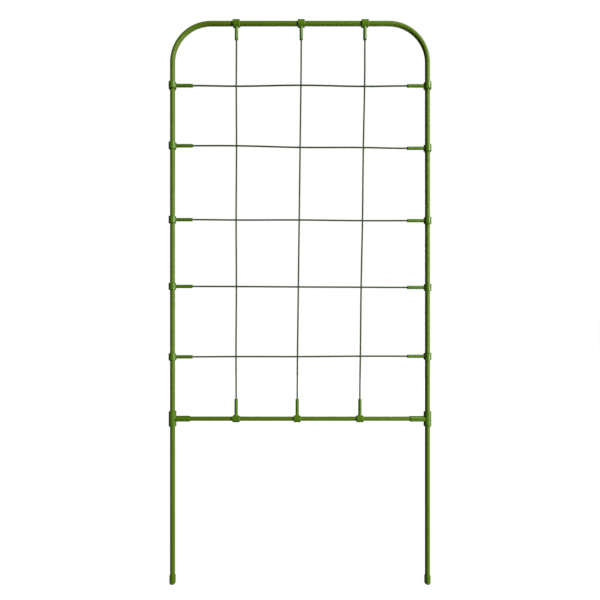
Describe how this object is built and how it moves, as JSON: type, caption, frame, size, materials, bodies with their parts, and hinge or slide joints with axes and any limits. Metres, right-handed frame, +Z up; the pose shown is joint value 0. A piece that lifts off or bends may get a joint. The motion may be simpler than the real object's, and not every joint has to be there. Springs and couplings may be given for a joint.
{
  "type": "arched plant support",
  "caption": "Garden trellis: a bent green tube arch on push-in stakes, with a crossbar and an open net of woven coated wires held by moulded clips.",
  "frame": {"origin": "on the ground plane, midway between the tips of the two foot caps", "axes": "+Z up along the stakes, +X from the left stake to the right one, -Y towards a viewer in front of the net"},
  "size_m": [0.5958, 0.0174, 1.2792],
  "materials": {
    "coated_tube_green": "smooth green plastic coating on steel tube, satin",
    "moulded_green": "moulded green plastic, semi-gloss",
    "coated_wire_green": "smooth dark green plastic coating on steel wire, satin"
  },
  "bodies": {
    "frame": {"arch_tube": "coated_tube_green", "crossbar": "coated_tube_green", "left_stake": "coated_tube_green", "right_stake": "coated_tube_green", "left_tee": "moulded_green", "right_tee": "moulded_green", "left_foot_cap": "moulded_green", "right_foot_cap": "moulded_green"},
    "row_1": {"row_1_wire": "coated_wire_green", "row_1_left_clip": "moulded_green", "row_1_right_clip": "moulded_green"},
    "row_2": {"row_2_wire": "coated_wire_green", "row_2_left_clip": "moulded_green", "row_2_right_clip": "moulded_green"},
    "row_3": {"row_3_wire": "coated_wire_green", "row_3_left_clip": "moulded_green", "row_3_right_clip": "moulded_green"},
    "row_4": {"row_4_wire": "coated_wire_green", "row_4_left_clip": "moulded_green", "row_4_right_clip": "moulded_green"},
    "row_5": {"row_5_wire": "coated_wire_green", "row_5_left_clip": "moulded_green", "row_5_right_clip": "moulded_green"},
    "column_1": {"column_1_wire": "coated_wire_green", "column_1_top_clip": "moulded_green", "column_1_bottom_clip": "moulded_green"},
    "column_2": {"column_2_wire": "coated_wire_green", "column_2_top_clip": "moulded_green", "column_2_bottom_clip": "moulded_green"},
    "column_3": {"column_3_wire": "coated_wire_green", "column_3_top_clip": "moulded_green", "column_3_bottom_clip": "moulded_green"}
  },
  "joints": [
    {"name": "row_1_slide", "type": "slide", "parent": "frame", "child": "row_1", "axis": [0, 0, 1], "range_m": [-0.02, 0.02]},
    {"name": "row_2_slide", "type": "slide", "parent": "frame", "child": "row_2", "axis": [0, 0, 1], "range_m": [-0.02, 0.02]},
    {"name": "row_3_slide", "type": "slide", "parent": "frame", "child": "row_3", "axis": [0, 0, 1], "range_m": [-0.02, 0.02]},
    {"name": "row_4_slide", "type": "slide", "parent": "frame", "child": "row_4", "axis": [0, 0, 1], "range_m": [-0.02, 0.02]},
    {"name": "row_5_slide", "type": "slide", "parent": "frame", "child": "row_5", "axis": [0, 0, 1], "range_m": [-0.02, 0.02]},
    {"name": "column_1_slide", "type": "slide", "parent": "frame", "child": "column_1", "axis": [1, 0, 0], "range_m": [-0.02, 0.02]},
    {"name": "column_2_slide", "type": "slide", "parent": "frame", "child": "column_2", "axis": [1, 0, 0], "range_m": [-0.02, 0.02]},
    {"name": "column_3_slide", "type": "slide", "parent": "frame", "child": "column_3", "axis": [1, 0, 0], "range_m": [-0.02, 0.02]}
  ]
}
